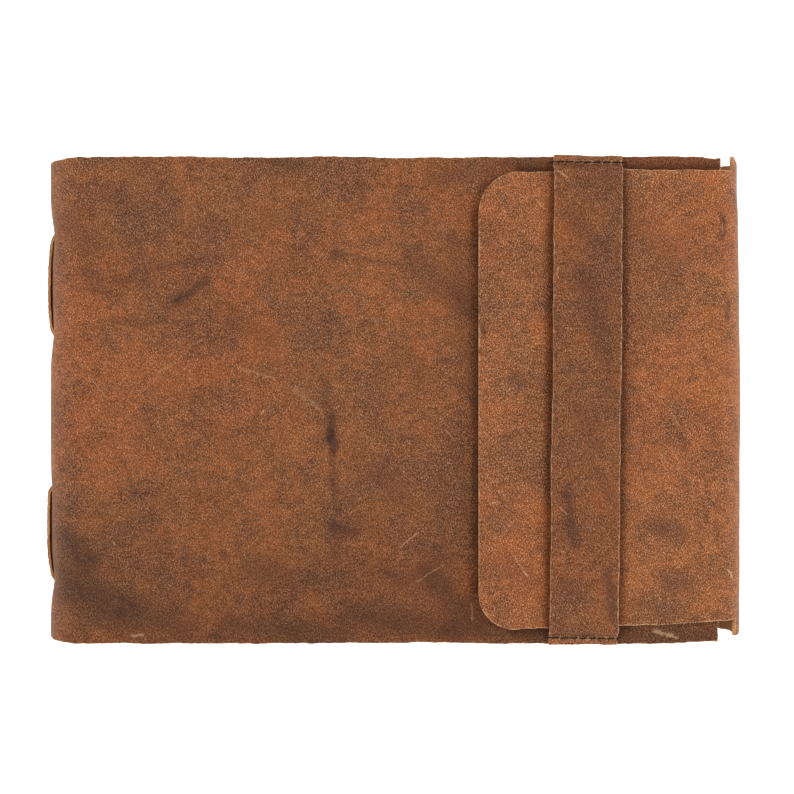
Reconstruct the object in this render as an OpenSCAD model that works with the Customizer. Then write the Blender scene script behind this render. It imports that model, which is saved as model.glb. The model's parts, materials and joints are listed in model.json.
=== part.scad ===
// Leather notebook cover: one wrap-around hide with a strapped flap, and ten sewn sections of
// paper tied to its spine with leather thongs. It lies on its back cover: +X points to the
// fore-edge, +Y to the head, +Z up through the front cover. Origin: middle of the underside.

/* [Hide] */
// Half of the overall length along X, thong loops and fore-edge included
half_length = 128.6; // [110:0.1:160]
// Height of the hide along Y
hide_h = 177.4; // [160:0.1:220]
// Thickness of the leather
leather_t = 1.8; // [1.4:0.1:2.2]
// How far the rounded spine reaches past the flat of the covers
spine_bulge = 13.4; // [12:0.1:15]
// How far the rounded fore-edge reaches past the flat of the back cover
fore_bulge = 10.6; // [9:0.1:12]
// Narrowing of the spine at its head and at its tail
spine_relief = 0.8; // [0:0.1:1.5]

/* [Front cover] */
// Right edge of the front cover at the head, from the middle
front_edge_head = 118.4; // [117:0.1:119]
// Right edge of the front cover at the tail, from the middle
front_edge_tail = 117.4; // [116:0.1:118.5]

/* [Flap] */
// Free edge of the flap, from the middle
flap_tip = 30.4; // [15:0.1:40]
// Head edge of the flap, from the middle
flap_head = 83.1; // [80:0.1:83.2]
// Tail edge of the flap at its free end, from the middle
flap_tail = 82.9; // [80:0.1:83.1]
// Tail edge of the flap where it meets the fore-edge, from the middle
flap_tail_fold = 79.2; // [76:0.1:82]
// Radius of the flap's two free corners
flap_corner_r = 14.5; // [8:0.5:20]

/* [Strap] */
// Width of the strap
strap_w = 25.4; // [18:0.1:32]
// Middle of the strap, from the middle of the cover
strap_x = 69.3; // [60:0.1:76]
// Tilt of the strap about the vertical, head end towards the fore-edge
strap_tilt = 0.62; // [0:0.02:1]
// Distance of each stitch row from the strap's end
stitch_inset = 2.5; // [2:0.1:3]
// Distance from one stitch to the next
stitch_pitch = 3.35; // [3:0.05:4]
// Stitches in each row
stitch_count = 9; // [7:2:9]
// Thickness of the strap's sewing thread
stitch_d = 0.8; // [0.6:0.05:1]

/* [Binding] */
// Slits of the spine, in pairs along Y: the head thong's, then the tail thong's
slit_y = [61.2, 24, -31.5, -66.4];
// Width of each thong
thong_w = 8.4; // [6:0.2:9]
// Thickness of each thong
thong_t = 1; // [0.8:0.1:1.1]
// Length of each thong's tail inside the spine
thong_tail = 14; // [8:1:16]
// Thickness of the binding thread
thread_d = 0.6; // [0.4:0.05:0.65]

/* [Pages] */
// Thickness of one sewn section
section_t = 2.25; // [2:0.05:2.4]
// Width of a page
page_w = 231.5; // [200:0.5:232]
// Height of a page
page_h = 174.4; // [150:0.2:175]

/* [Hidden] */
section_count = 10;
clear = 0.3;                    // gap between pieces that move apart
section_gap = 0.25;             // gap between two sections
fold_gap = 0.12;                // gap between two panels at a fold
side_slack = 0.1;               // gap on each side of a thong in its slit
arc_steps = 18;                 // flats in a quarter turn of a fold
past = 40;                      // reach of a cutting solid past what it cuts

// Heights of the layers
block_z0 = leather_t + section_gap;
block_h = section_count * section_t + (section_count - 1) * section_gap;
cover_t = block_z0 + block_h + section_gap + leather_t;
flap_z0 = cover_t + clear;
flap_z1 = flap_z0 + leather_t;
strap_z0 = flap_z1 + clear;

// Spine: half an ellipse from the back cover's underside to the front cover's top
thong_gap = 0.1;
spine_cx = -(half_length - thong_t - thong_gap - spine_bulge);
spine_cz = cover_t / 2;
back_spine_fold = 215.7;        // angle of the fold between back cover and spine
front_spine_fold = 360 - back_spine_fold;

// Fore-edge: half an ellipse from the back cover's underside to the flap's top
fore_cx = half_length - fore_bulge;
fore_cz = flap_z1 / 2;
fore_fold = 21;                 // angle of each fold of the fore-edge wall, from its middle

// Outline of the hide in plan: the fore-edge end tapers a little
hide_y = hide_h / 2;
fore_tail_y = hide_y - 1.6;
spine_y = hide_y - spine_relief;

// Strap, in its own frame, with Y along it
strap_end = hide_y + 0.05;
strap_lift_y = max(flap_head, flap_tail) + 0.4;
strap_drop = 1.9;               // length of the ramp that climbs over the flap's edge
ramp_steps = 6;

// A run of the ellipse about [cx, cz] with half axes a, b, from angle t0 to t1
function arc(cx, cz, a, b, t0, t1, n = arc_steps) =
    [for (i = [0:n]) let (t = t0 + (t1 - t0) * i / n) [cx + a * cos(t), cz + b * sin(t)]];

function flipped(points) = [for (i = [len(points) - 1:-1:0]) points[i]];

function spine_arc(depth, t0, t1) =
    arc(spine_cx, spine_cz, spine_bulge - depth, spine_cz - depth, t0, t1);

function fore_arc(depth, t0, t1) =
    arc(fore_cx, fore_cz, fore_bulge - depth, fore_cz - depth, t0, t1);

// Eases from 0 to 1
function ease(s) = s * s * (3 - 2 * s);

// Extrudes a profile drawn in X and Z along Y, from y0 to y1
module along_y(y0, y1) {
    translate([0, y1, 0]) rotate([90, 0, 0]) linear_extrude(height = y1 - y0) children();
}

// Extrudes a profile drawn in Y and Z along X, centred, width w
module along_x(w) {
    rotate([90, 0, 90]) linear_extrude(height = w, center = true) children();
}

// The hide's outline in plan, up to the fore-edge, as a tall block
module hide_outline() {
    linear_extrude(height = past * 3, center = true)
        polygon([[-half_length, -hide_y], [0, -hide_y], [half_length, -fore_tail_y],
                 [half_length, hide_y], [-half_length, hide_y]]);
}

// Back cover, flat, curling up to the spine on the left and to the fore-edge on the right
module back_panel() {
    color("saddlebrown") intersection() {
        along_y(-hide_y, hide_y) polygon(concat(
            spine_arc(0, back_spine_fold, 270),
            fore_arc(0, -90, -fore_fold),
            flipped(fore_arc(leather_t, -90, -fore_fold)),
            flipped(spine_arc(leather_t, back_spine_fold, 270))));
        hide_outline();
    }
}

// Spine, with a slit for each end of each thong
module spine_panel() {
    gap_angle = asin(fold_gap / spine_cz);
    color("sienna") difference() {
        along_y(-spine_y, spine_y) polygon(concat(
            spine_arc(0, front_spine_fold + gap_angle, back_spine_fold - gap_angle),
            flipped(spine_arc(leather_t, front_spine_fold + gap_angle,
                              back_spine_fold - gap_angle))));
        for (y = slit_y)
            translate([-half_length, y, spine_cz])
                cube([past / 2, thong_t + 2 * side_slack, thong_w + 2 * side_slack],
                     center = true);
    }
}

// Front cover, flat, curling down to the spine on the left, with a cut right edge
module front_panel() {
    color("saddlebrown") intersection() {
        along_y(-hide_y, hide_y) polygon(concat(
            spine_arc(0, front_spine_fold, 90),
            [[half_length, cover_t], [half_length, cover_t - leather_t]],
            flipped(spine_arc(leather_t, front_spine_fold, 90))));
        linear_extrude(height = past * 3, center = true)
            polygon([[-half_length, -hide_y], [front_edge_tail, -hide_y],
                     [front_edge_head, hide_y], [-half_length, hide_y]]);
    }
}

// Part of the hide that stands over the fore-edge of the pages
module fore_edge_wall() {
    gap_angle = asin(fold_gap / fore_cz);
    color("sienna") intersection() {
        along_y(-hide_y, hide_y) polygon(concat(
            fore_arc(0, gap_angle - fore_fold, fore_fold - gap_angle),
            flipped(fore_arc(leather_t, gap_angle - fore_fold, fore_fold - gap_angle))));
        hide_outline();
    }
}

// Tongue that folds over the front cover and tucks under the strap
module closure_flap() {
    r = flap_corner_r;
    color("peru") intersection() {
        along_y(-hide_y, hide_y) polygon(concat(
            fore_arc(0, fore_fold, 90),
            [[flap_tip, flap_z1], [flap_tip, flap_z0]],
            flipped(fore_arc(leather_t, fore_fold, 90))));
        linear_extrude(height = past * 3, center = true) polygon(concat(
            arc(flap_tip + r, flap_head - r, r, r, 90, 180),
            arc(flap_tip + r, r - flap_tail, r, r, 180, 270),
            [[half_length, -flap_tail_fold], [half_length, flap_head]]));
    }
}

// Height of the strap's underside at a distance y from its middle
function strap_rise(y) =
    let (s = (strap_lift_y + strap_drop - abs(y)) / strap_drop)
    cover_t + (strap_z0 - cover_t) * ease(min(1, max(0, s)));

// Strap across the front cover: sewn down at both ends, and lifted over the flap between
module closure_strap() {
    ramp = [for (i = [0:ramp_steps]) strap_lift_y + strap_drop * (1 - i / ramp_steps)];
    stations = concat([strap_end], ramp);
    ys = concat([for (y = stations) -y], flipped(stations));
    color("tan") translate([strap_x, 0, 0]) rotate([0, 0, -strap_tilt]) along_x(strap_w)
        polygon(concat([for (y = ys) [y, strap_rise(y)]],
                       flipped([for (y = ys) [y, strap_rise(y) + leather_t]])));
}

// One row of saddle stitches through strap and front cover; the row's first and last
// stitches step down from the strap on to the front cover
module stitch_row(side) {
    row_y = side * (strap_end - stitch_inset);
    top_z = cover_t + leather_t + stitch_d / 4;
    low_z = cover_t + stitch_d / 4;
    under_z = cover_t - leather_t + stitch_d / 2;
    half_row = stitch_count * stitch_pitch / 2;
    color("black") translate([strap_x, 0, 0]) rotate([0, 0, -strap_tilt])
        translate([0, row_y, 0]) {
            for (i = [0:stitch_count]) {
                x = i * stitch_pitch - half_row;
                outside = i == 0 || i == stitch_count;
                leg_top = outside ? low_z : top_z;
                translate([x, 0, under_z]) cylinder(h = leg_top - under_z, d = stitch_d, $fn = 16);
                translate([x, 0, leg_top]) sphere(d = stitch_d, $fn = 16);
            }
            for (i = [1:stitch_count - 2])
                translate([i * stitch_pitch - half_row, 0, top_z])
                    rotate([0, 90, 0]) cylinder(h = stitch_pitch, d = stitch_d, $fn = 16);
            for (end = [0, 1]) mirror([end, 0, 0])
                translate([-half_row, 0, low_z])
                    rotate([0, atan2(stitch_pitch, leather_t), 0])
                        cylinder(h = norm([stitch_pitch, leather_t]), d = stitch_d, $fn = 16);
            translate([-half_row, 0, under_z])
                rotate([0, 90, 0]) cylinder(h = 2 * half_row, d = stitch_d, $fn = 16);
        }
}

module strap_stitches_head() {
    stitch_row(1);
}

module strap_stitches_tail() {
    stitch_row(-1);
}

// Outer and inner places of a thong: along the spine's outside, and tail inside it
thong_out = -half_length;
thong_in = spine_cx - (spine_bulge - leather_t) * cos(asin(thong_w / 2 / (spine_cz - leather_t)))
           + side_slack;

// Flat thong: outside between its two slits, in through them, and a tail inside at each end
module thong(y_high, y_low) {
    h = thong_t / 2;
    inner = thong_in + thong_t;
    color("chocolate") translate([0, 0, spine_cz])
        linear_extrude(height = thong_w, center = true)
            polygon([[thong_out, y_low - h], [thong_in, y_low - h], [thong_in, y_low - thong_tail],
                     [inner, y_low - thong_tail], [inner, y_low + h],
                     [thong_out + thong_t, y_low + h], [thong_out + thong_t, y_high - h],
                     [inner, y_high - h], [inner, y_high + thong_tail],
                     [thong_in, y_high + thong_tail], [thong_in, y_high + h],
                     [thong_out, y_high + h]]);
}

module binding_thong_head() {
    thong(slit_y[0], slit_y[1]);
}

module binding_thong_tail() {
    thong(slit_y[2], slit_y[3]);
}

// Thread strands that tie the sections down over a thong's two tails
module thread_strands(y_high, y_low) {
    strand_count = 3;
    spread = thong_tail * 0.6;
    strand_h = thong_w + 1;
    color("linen")
        for (i = [0:strand_count - 1])
            let (step = 2 + spread * i / (strand_count - 1))
                for (y = [y_high + step, y_low - step])
                    translate([thong_in + thong_t + thread_d / 2, y, spine_cz])
                        cylinder(h = strand_h, d = thread_d, center = true, $fn = 16);
}

module binding_thread_head() {
    thread_strands(slit_y[0], slit_y[1]);
}

module binding_thread_tail() {
    thread_strands(slit_y[2], slit_y[3]);
}

// A section of folded paper. The folds follow the round of the spine, so the fore-edge is hollow
module page_section(n) {
    z0 = block_z0 + (n - 1) * (section_t + section_gap);
    far = max(abs(z0 - spine_cz), abs(z0 + section_t - spine_cz));
    reach = thong_in + thong_t + thread_d + clear;
    fold_x = spine_cx + (reach - spine_cx) * sqrt(1 - pow(far / (spine_cz - leather_t), 2));
    r = section_t / 2;
    color(n % 2 == 0 ? "cornsilk" : "oldlace") union() {
        along_y(-page_h / 2, page_h / 2)
            polygon(concat(arc(fold_x + r, z0 + r, r, r, 90, 270, 8),
                           [[fold_x + page_w, z0], [fold_x + page_w, z0 + section_t]]));
    }
}

module page_section_01() { page_section(1); }
module page_section_02() { page_section(2); }
module page_section_03() { page_section(3); }
module page_section_04() { page_section(4); }
module page_section_05() { page_section(5); }
module page_section_06() { page_section(6); }
module page_section_07() { page_section(7); }
module page_section_08() { page_section(8); }
module page_section_09() { page_section(9); }
module page_section_10() { page_section(10); }

back_panel();
spine_panel();
front_panel();
fore_edge_wall();
closure_flap();
closure_strap();
strap_stitches_head();
strap_stitches_tail();
binding_thong_head();
binding_thong_tail();
binding_thread_head();
binding_thread_tail();
page_section_01();
page_section_02();
page_section_03();
page_section_04();
page_section_05();
page_section_06();
page_section_07();
page_section_08();
page_section_09();
page_section_10();
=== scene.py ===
"""Looks of the leather notebook cover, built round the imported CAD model, in metres."""

import json
import math

import bpy
import numpy as np
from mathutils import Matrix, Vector, kdtree


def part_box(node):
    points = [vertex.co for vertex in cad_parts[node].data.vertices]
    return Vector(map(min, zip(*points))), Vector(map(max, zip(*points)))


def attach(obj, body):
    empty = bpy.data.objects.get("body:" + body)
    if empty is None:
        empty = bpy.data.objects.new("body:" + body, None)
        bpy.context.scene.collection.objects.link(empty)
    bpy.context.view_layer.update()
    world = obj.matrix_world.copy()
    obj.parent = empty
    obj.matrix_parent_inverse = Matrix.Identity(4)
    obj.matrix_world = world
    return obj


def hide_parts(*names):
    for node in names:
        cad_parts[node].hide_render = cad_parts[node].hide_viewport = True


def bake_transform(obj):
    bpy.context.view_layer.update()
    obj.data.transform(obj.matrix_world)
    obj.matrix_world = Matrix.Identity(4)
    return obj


MM = 0.001
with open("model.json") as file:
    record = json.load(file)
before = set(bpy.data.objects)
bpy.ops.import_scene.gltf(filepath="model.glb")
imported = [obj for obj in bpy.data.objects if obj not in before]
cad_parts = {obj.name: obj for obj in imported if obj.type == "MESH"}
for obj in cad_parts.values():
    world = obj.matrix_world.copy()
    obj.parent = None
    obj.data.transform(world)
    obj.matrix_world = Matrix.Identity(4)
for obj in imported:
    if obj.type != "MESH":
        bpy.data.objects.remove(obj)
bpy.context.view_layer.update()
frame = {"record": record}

# ==== Sizes, from the frame's boxes and the design
LEATHER = 1.8 * MM                        # thickness of the hide and the strap
SPINE_BULGE = 13.4 * MM                   # reach of the spine's half ellipse
FORE_BULGE = 10.6 * MM                    # reach of the fore-edge's half ellipse
SLITS = [y * MM for y in (61.2, 24.0, -31.5, -66.4)]        # Y of the slits in the spine
THONG_W = 8.4 * MM
THONG_T = 1.25 * MM
THONG_TAIL = 14.0 * MM
STRAP_TILT = math.radians(-0.62)
STITCH_INSET = 2.5 * MM
STITCH_PITCH = 3.35 * MM
STITCH_COUNT = 9

front_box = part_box("front_panel")
back_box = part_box("back_panel")
spine_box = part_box("spine_panel")
wall_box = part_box("fore_edge_wall")
flap_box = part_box("closure_flap")
strap_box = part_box("closure_strap")

COVER_TOP = front_box[1].z
FLAP_TOP = flap_box[1].z
STRAP_TOP = strap_box[1].z
STRAP_X = (strap_box[0].x + strap_box[1].x) / 2
STRAP_W = 24.7 * MM
STRAP_END = strap_box[1].y - 0.1 * MM
SPINE_CX = spine_box[0].x + SPINE_BULGE
FORE_CX = wall_box[1].x - FORE_BULGE
FRONT_EDGE = front_box[1].x
FLAP_TIP = flap_box[0].x
HIDE_Y = back_box[1].y


# ==== The hide's cross-section: one line from the front cover's right edge, round the spine, under
# the pages, round the fore-edge and over to the flap's tip
def ellipse(cx, cz, a, b, t0, t1, count=240):
    t = np.radians(np.linspace(t0, t1, count))
    return np.stack([cx + a * np.cos(t), cz + b * np.sin(t)], axis=1)


def straight(x0, x1, z, count=60):
    return np.stack([np.linspace(x0, x1, count), np.full(count, z)], axis=1)


def arc_lengths(points):
    steps = np.linalg.norm(np.diff(points, axis=0), axis=1)
    return np.concatenate([[0], np.cumsum(steps)])


def tangents(points, *spacing):
    """The unit tangent at each point of a line."""
    tangent = np.gradient(points, *spacing, axis=0)
    return tangent / np.linalg.norm(tangent, axis=1, keepdims=True)


def hide_line():
    """The line's points, its arc lengths and its outward normals, in X and Z."""
    runs = [
        straight(FRONT_EDGE, SPINE_CX, COVER_TOP),
        ellipse(SPINE_CX, COVER_TOP / 2, SPINE_BULGE, COVER_TOP / 2, 90, 270),
        straight(SPINE_CX, FORE_CX, 0),
        ellipse(FORE_CX, FLAP_TOP / 2, FORE_BULGE, FLAP_TOP / 2, -90, 90),
        straight(FORE_CX, FLAP_TIP, FLAP_TOP),
    ]
    points = np.concatenate([runs[0]] + [run[1:] for run in runs[1:]])
    length = arc_lengths(points)
    tangent = tangents(points, length)
    normal = np.stack([tangent[:, 1], -tangent[:, 0]], axis=1)
    return points, length, normal


LINE, LINE_LENGTH, LINE_NORMAL = hide_line()


def along_hide(u):
    """X, Z and the outward normal's X, Z at u. On the front cover u is X, and it falls from
    there on along the leather, so it is the place on the hide laid out flat."""
    s = FRONT_EDGE - u
    columns = (LINE[:, 0], LINE[:, 1], LINE_NORMAL[:, 0], LINE_NORMAL[:, 1])
    return [np.interp(s, LINE_LENGTH, column) for column in columns]


def u_nearest(x, z):
    nearest = np.argmin(np.hypot(LINE[:, 0] - x, LINE[:, 1] - z))
    return FRONT_EDGE - LINE_LENGTH[nearest]


def fold_point(cx, a, top, angle):
    """A point of a half ellipse that spans heights 0 to top, at an angle above its middle."""
    t = math.radians(angle)
    return cx + a * math.cos(t), top / 2 * (1 + math.sin(t))


U_SPINE = u_nearest(SPINE_CX - SPINE_BULGE, COVER_TOP / 2)
U_BACK = u_nearest(0, 0)
U_WALL = u_nearest(FORE_CX + FORE_BULGE, FLAP_TOP / 2)
U_NOTCH = u_nearest(*fold_point(FORE_CX, FORE_BULGE, FLAP_TOP, 50))
U_FLAP_FLAT = u_nearest(FORE_CX, FLAP_TOP)
U_TIP = FRONT_EDGE - LINE_LENGTH[-1]
FLAP_SHIFT = U_FLAP_FLAT - FORE_CX          # adds to X on the flap to give u


# ==== Smooth random fields and easing
def ripple(seed, wavelength, waves=9):
    """A smooth random field of two arrays, mostly within -1 and 1."""
    rng = np.random.default_rng(seed)
    angle = rng.uniform(0, 2 * math.pi, waves)
    phase = rng.uniform(0, 2 * math.pi, waves)
    k = 2 * math.pi / (wavelength * rng.uniform(0.7, 1.5, waves))

    def field(a, b):
        total = 0
        for i in range(waves):
            total = total + np.sin(k[i] * (a * math.cos(angle[i]) + b * math.sin(angle[i])) + phase[i])
        return total / math.sqrt(waves)

    return field


def ease(s):
    s = np.clip(s, 0, 1)
    return s * s * (3 - 2 * s)


def bell(x, width):
    return np.exp(-(x / width) ** 2)


wave_long = ripple(11, 75 * MM)
wave_short = ripple(12, 28 * MM)
cut_long = ripple(13, 34 * MM)
cut_short = ripple(14, 6 * MM)
cut_tiny = ripple(15, 1.7 * MM)


def cover_wave(x, y):
    """How far the front cover's leather lies out of flat. The flap and strap follow it."""
    return (0.22 * wave_long(x, y) + 0.10 * wave_short(x, y)) * MM


def cut_wander(along, seed):
    """How far a hand-cut edge strays from its line."""
    shift = seed * 0.7
    return (0.16 * cut_long(along, shift) + 0.10 * cut_short(along, shift)
            + 0.05 * cut_tiny(along, shift)) * MM


# ==== Meshes
def put_in_scene(name, data):
    obj = bpy.data.objects.new(name, data)
    bpy.context.scene.collection.objects.link(obj)
    return obj


def new_object(name, vertices, faces, materials, indices=None, smooth=True, sharp=50):
    mesh = bpy.data.meshes.new(name)
    mesh.from_pydata(np.asarray(vertices).tolist(), [], [tuple(map(int, f)) for f in faces])
    for material in materials:
        mesh.materials.append(material)
    if indices is not None:
        mesh.polygons.foreach_set("material_index", np.asarray(indices, np.int32))
    if smooth:
        mesh.shade_smooth()
        mesh.set_sharp_from_angle(angle=math.radians(sharp))
    mesh.update()
    return put_in_scene(name, mesh)


def set_float(obj, name, values):
    attribute = obj.data.attributes.new(name, "FLOAT", "POINT")
    attribute.data.foreach_set("value", np.asarray(values, np.float32))


def set_uv(obj, uv):
    """One place per vertex, in metres of flat leather."""
    layer = obj.data.uv_layers.new(name="flat")
    loops = np.empty(len(obj.data.loops), np.int32)
    obj.data.loops.foreach_get("vertex_index", loops)
    layer.data.foreach_set("uv", np.asarray(uv, np.float32)[loops].ravel())


def distance_to_cut(uv, keep, seams):
    """Each grid point's distance from the nearest cut edge, given which cells are leather."""
    n, m = keep.shape
    padded = np.zeros((n + 2, m + 2), bool)
    padded[1:-1, 1:-1] = keep
    if "start" in seams:
        padded[0, 1:-1] = keep[0]
    if "end" in seams:
        padded[-1, 1:-1] = keep[-1]
    across = padded[:-1, 1:-1] != padded[1:, 1:-1]      # an edge from (i, j) to (i, j + 1)
    down = padded[1:-1, :-1] != padded[1:-1, 1:]        # an edge from (i, j) to (i + 1, j)
    ends = []
    for i, j in zip(*np.nonzero(across)):
        ends.append((uv[i, j], uv[i, j + 1]))
    for i, j in zip(*np.nonzero(down)):
        ends.append((uv[i, j], uv[i + 1, j]))
    samples = [a + (b - a) * t for a, b in ends for t in (0, 0.5, 1)]
    tree = kdtree.KDTree(len(samples))
    for number, place in enumerate(samples):
        tree.insert((place[0], place[1], 0), number)
    tree.balance()
    flat = uv.reshape(-1, 2)
    return np.array([tree.find((a, b, 0))[2] for a, b in flat]).reshape(n + 1, m + 1)


def leather_sheet(name, outer, inner, uv, keep, materials, edge, stains=(), scratches=(), painted_shade=()):
    """A closed sheet of leather over a grid: outer and inner are (n, m, 3), keep says which
    cells are leather, and materials are the grain side's, the flesh side's and the cut's."""
    n, m = outer.shape[:2]
    index = np.arange(n * m).reshape(n, m)
    i, j = np.nonzero(keep)
    corners = [index[i, j], index[i, j + 1], index[i + 1, j + 1], index[i + 1, j]]
    faces = [np.stack(corners, axis=1), np.stack(corners[::-1], axis=1) + n * m]
    kinds = [np.zeros(len(i), int), np.ones(len(i), int)]
    padded = np.zeros((n + 1, m + 1), bool)
    padded[1:-1, 1:-1] = keep
    for side, (di, dj) in enumerate([(-1, 0), (0, 1), (1, 0), (0, -1)]):
        open_side = ~padded[i + 1 + di, j + 1 + dj]
        p = corners[side][open_side]
        q = corners[(side + 1) % 4][open_side]
        faces.append(np.stack([q, p, p + n * m, q + n * m], axis=1))
        kinds.append(np.full(len(p), 2))
    faces = np.concatenate(faces)
    used, renumbered = np.unique(faces, return_inverse=True)
    vertices = np.concatenate([outer.reshape(-1, 3), inner.reshape(-1, 3)])[used]
    obj = new_object(name, vertices, renumbered.reshape(faces.shape), materials,
                     np.concatenate(kinds))
    places = np.concatenate([uv.reshape(-1, 2)] * 2)[used]
    set_uv(obj, places)
    mark_leather(obj, places, stains, scratches, painted_shade)
    set_float(obj, "edge_mm", np.concatenate([edge.ravel()] * 2)[used] / MM)
    return obj


def grid_lines(start, stop, step, cuts=(), extra=()):
    """Lines from start to stop about step apart, with close ones beside the cuts."""
    count = max(2, round(abs(stop - start) / step) + 1)
    close = np.array([0.12, 0.3, 0.55, 0.9]) * MM
    lines = list(np.linspace(start, stop, count)) + list(extra)
    low, high = min(start, stop), max(start, stop)
    for cut in cuts:
        lines += [cut + d for d in close if cut + d < high]
        lines += [cut - d for d in close if cut - d > low]
    lines = np.array(sorted(lines))
    keep = np.concatenate([[True], np.diff(lines) > 0.05 * MM])
    lines = lines[keep]
    return lines if stop > start else lines[::-1]


def rounded_edge(edge):
    """How far both sides of the leather draw in beside a cut edge."""
    return 0.28 * MM * np.clip(1 - edge / (0.75 * MM), 0, 1) ** 2


def hide_piece(name, u_lines, y_of, keep_of, lift, seams):
    """A part of the hide. y_of(u) gives the rows of y at each u, keep_of(u, y) says where the
    leather is, lift(u, x, y) moves its surface outwards, and seams are its ends that join
    another part."""
    y = y_of(u_lines)
    u = np.repeat(u_lines[:, None], y.shape[1], axis=1)
    middle_u = (u[:-1, :-1] + u[1:, 1:]) / 2
    middle_y = (y[:-1, :-1] + y[1:, 1:] + y[:-1, 1:] + y[1:, :-1]) / 4
    keep = keep_of(middle_u, middle_y)
    uv = np.stack([u, y], axis=2)
    edge = distance_to_cut(uv, keep, seams)
    x, z, nx, nz = along_hide(u)
    surface = lift(u, x, y)
    out = surface - rounded_edge(edge)
    deep = surface - LEATHER + rounded_edge(edge)
    outer = np.stack([x + nx * out, y, z + nz * out], axis=2)
    inner = np.stack([x + nx * deep, y, z + nz * deep], axis=2)
    return leather_sheet(name, outer, inner, uv, keep, HIDE_SKINS, edge, HIDE_STAINS,
                         HIDE_SCRATCHES, HIDE_PAINTED_SHADE)


def tube(points, radius, sides):
    """Vertices and faces of a closed tube along points."""
    points = np.asarray(points, float)
    count = len(points)
    tangent = tangents(points)
    up = np.array([0.0, 0.0, 1.0]) if abs(tangent[0][2]) < 0.8 else np.array([0.0, 1.0, 0.0])
    vertices, faces = [], []
    for k in range(count):
        side = np.cross(tangent[k], up)
        side /= np.linalg.norm(side)
        up = np.cross(side, tangent[k])
        for a in range(sides):
            angle = 2 * math.pi * a / sides
            vertices.append(points[k] + radius * (math.cos(angle) * side + math.sin(angle) * up))
    for k in range(count - 1):
        for a in range(sides):
            b = (a + 1) % sides
            faces.append((k * sides + a, k * sides + b, (k + 1) * sides + b, (k + 1) * sides + a))
    faces.append(tuple(range(sides - 1, -1, -1)))
    faces.append(tuple((count - 1) * sides + a for a in range(sides)))
    return vertices, faces


class Gather:
    """Collects closed shells into one mesh."""

    def __init__(self):
        self.vertices, self.faces = [], []

    def add(self, vertices, faces):
        base = len(self.vertices)
        self.vertices += [tuple(v) for v in vertices]
        self.faces += [tuple(base + k for k in face) for face in faces]

    def object(self, name, materials, **settings):
        return new_object(name, self.vertices, self.faces, materials, **settings)


# ==== Materials
class Nodes:
    """Short calls for building one node tree."""

    def __init__(self, tree):
        self.tree = tree
        tree.nodes.clear()

    def put(self, value, socket):
        if isinstance(value, bpy.types.NodeSocket):
            self.tree.links.new(value, socket)
        elif value is not None:
            socket.default_value = value

    def add(self, kind, inputs=(), **settings):
        node = self.tree.nodes.new(kind)
        for key, value in settings.items():
            setattr(node, key, value)
        for socket, value in zip(node.inputs, inputs):
            self.put(value, socket)
        return node

    def math(self, operation, *values, clamp=False):
        return self.add("ShaderNodeMath", values, operation=operation, use_clamp=clamp).outputs[0]

    def plus(self, a, b):
        return self.math("ADD", a, b)

    def product(self, a, b, clamp=False):
        return self.math("MULTIPLY", a, b, clamp=clamp)

    def vector(self, operation, *values):
        return self.add("ShaderNodeVectorMath", values, operation=operation).outputs[0]

    def remap(self, value, low, high, to_low=0.0, to_high=1.0, smooth=False):
        kind = "SMOOTHSTEP" if smooth else "LINEAR"
        node = self.add("ShaderNodeMapRange", (value, low, high, to_low, to_high),
                        interpolation_type=kind, clamp=True)
        return node.outputs[0]

    def noise(self, place, scale, detail=2.0, rough=0.5, distort=0.0):
        node = self.add("ShaderNodeTexNoise")
        for key, value in (("Vector", place), ("Scale", scale), ("Detail", detail),
                           ("Roughness", rough), ("Distortion", distort)):
            self.put(value, node.inputs[key])
        return node.outputs["Fac"]

    def mix(self, amount, a, b, blend="MIX"):
        node = self.add("ShaderNodeMix", data_type="RGBA", blend_type=blend)
        self.put(amount, node.inputs["Factor"])
        self.put((*a, 1) if isinstance(a, tuple) else a, node.inputs["A"])
        self.put((*b, 1) if isinstance(b, tuple) else b, node.inputs["B"])
        return node.outputs["Result"]

    def times(self, colour, factor):
        """The colour multiplied by another colour."""
        return self.mix(1.0, colour, factor, "MULTIPLY")

    def grey(self, value):
        return self.add("ShaderNodeCombineColor", (value,) * 3).outputs[0]

    def stored(self, name):
        """A number that is kept at the mesh's points."""
        return self.add("ShaderNodeAttribute", attribute_name=name).outputs["Fac"]

    def scaled(self, place, x=1.0, y=1.0, z=1.0, turn=0.0):
        node = self.add("ShaderNodeMapping")
        self.put(place, node.inputs["Vector"])
        self.put((0.0, 0.0, math.radians(turn)), node.inputs["Rotation"])
        self.put((x, y, z), node.inputs["Scale"])
        return node.outputs[0]

    def bump(self, height, strength, distance, normal=None):
        node = self.add("ShaderNodeBump")
        self.put(strength, node.inputs["Strength"])
        self.put(distance, node.inputs["Distance"])
        self.put(height, node.inputs["Height"])
        if normal is not None:
            self.put(normal, node.inputs["Normal"])
        return node.outputs[0]

    def flat_place(self):
        return self.add("ShaderNodeUVMap", uv_map="flat").outputs[0]

    def object_place(self):
        return self.add("ShaderNodeTexCoord").outputs["Object"]

    def axes(self, place):
        return self.add("ShaderNodeSeparateXYZ", (place,)).outputs

    def surface(self, colour, roughness, normal, specular=0.4, sheen=0.0):
        """Ends the tree in a Principled surface. Constants stay on its own sockets."""
        shader = self.add("ShaderNodeBsdfPrincipled")
        self.put(colour, shader.inputs["Base Color"])
        self.put(roughness, shader.inputs["Roughness"])
        shader.inputs["Specular IOR Level"].default_value = specular
        shader.inputs["Sheen Weight"].default_value = sheen
        shader.inputs["Sheen Roughness"].default_value = 0.5
        shader.inputs["Sheen Tint"].default_value = (1.0, 0.86, 0.72, 1)
        self.put(normal, shader.inputs["Normal"])
        self.add("ShaderNodeOutputMaterial", (shader.outputs[0],))


def new_material(name):
    material = bpy.data.materials.new(name)
    material.use_nodes = True
    return material, Nodes(material.node_tree)


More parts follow.
